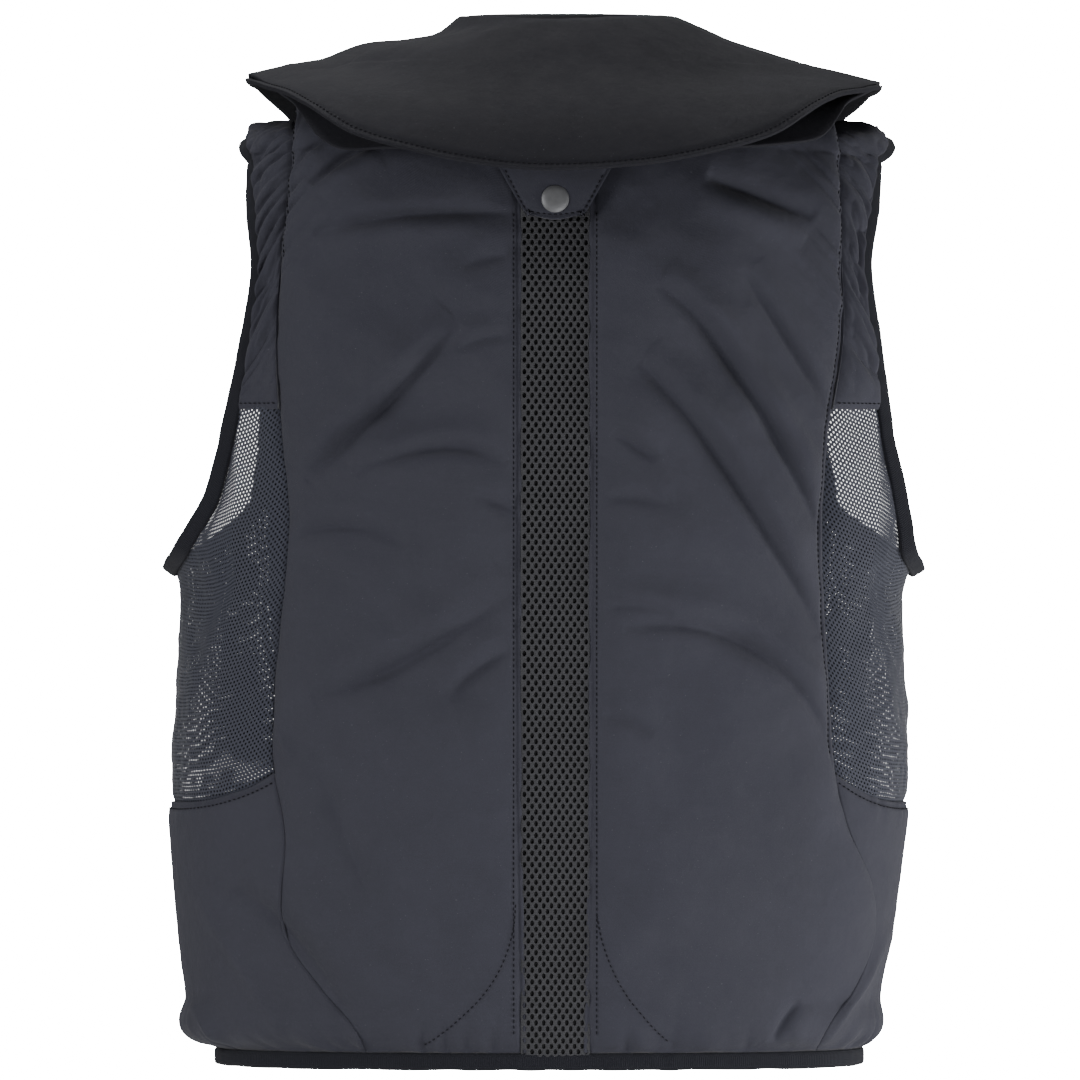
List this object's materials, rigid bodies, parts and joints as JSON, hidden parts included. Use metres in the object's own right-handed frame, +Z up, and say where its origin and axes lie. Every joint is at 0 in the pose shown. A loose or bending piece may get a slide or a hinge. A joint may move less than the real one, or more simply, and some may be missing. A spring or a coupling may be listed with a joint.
{
  "type": "airbag vest",
  "caption": "Sleeveless airbag vest with padded back panels, a spine strip of open mesh, side mesh, a wide collar over a neck airbag pouch, a snap tab and a front zip",
  "frame": {"origin": "the middle of the neck opening at the height of the back neckline, where the vest is carried on the shoulders", "axes": "+Z up the wearer's body, +Y to the wearer's front, +X to the wearer's right"},
  "size_m": [0.4236, 0.2446, 0.5795],
  "materials": {
    "shell": "dark blue-grey softshell cloth, matt with a faint sheen",
    "collar": "dark grey softshell cloth, matt",
    "side_mesh": "open knitted net, see-through",
    "spine_mesh": "knitted spacer mesh with oval holes",
    "binding": "ribbed elastic tape, matt",
    "zip": "closed coil zip on its tape",
    "snap": "dark grey matt lacquer"
  },
  "bodies": {
    "root": {"back_panel_left": "shell", "back_panel_right": "shell", "yoke_left": "shell", "yoke_right": "shell", "lower_side_left": "shell", "lower_side_right": "shell", "front_panel_left": "shell", "front_panel_right": "shell", "collar_flap": "collar", "collar_underlay": "collar", "snap_tab": "collar", "side_mesh_left": "side_mesh", "side_mesh_right": "side_mesh", "spine_mesh": "spine_mesh", "neck_stand": "spine_mesh", "armhole_binding_left": "binding", "armhole_binding_right": "binding", "hem_binding": "binding", "front_zip": "zip", "snap_cap": "snap", "snap_stud": "snap"}
  },
  "joints": []
}
